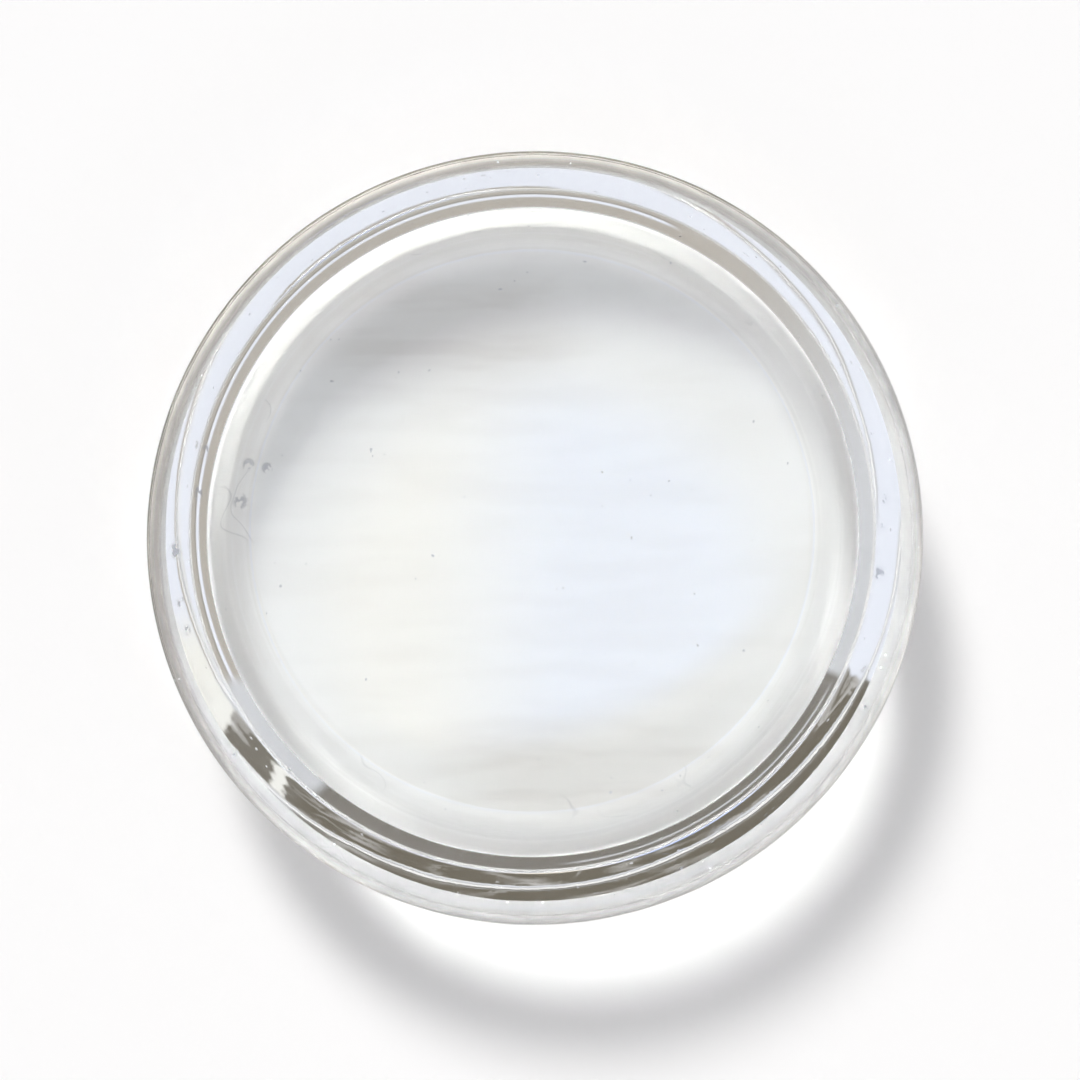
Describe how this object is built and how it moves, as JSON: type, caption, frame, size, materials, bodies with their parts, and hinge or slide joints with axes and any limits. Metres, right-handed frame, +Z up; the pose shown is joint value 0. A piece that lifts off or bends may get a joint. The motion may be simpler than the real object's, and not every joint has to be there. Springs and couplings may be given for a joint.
{
  "type": "flat-bottomed watch glass",
  "caption": "Heavy round clear-glass dish with a flat base, a wall that thickens from a narrow rounded rim down to the floor, for holding or covering small samples.",
  "frame": {"origin": "centre of the flat face that the dish rests on", "axes": "+Z up along the axis of the dish, open side up; the dish is round, so X and Y are equal"},
  "size_m": [0.1, 0.1, 0.0175],
  "materials": {
    "clear_glass": "polished"
  },
  "bodies": {
    "root": {"dish": "clear_glass"}
  },
  "joints": []
}
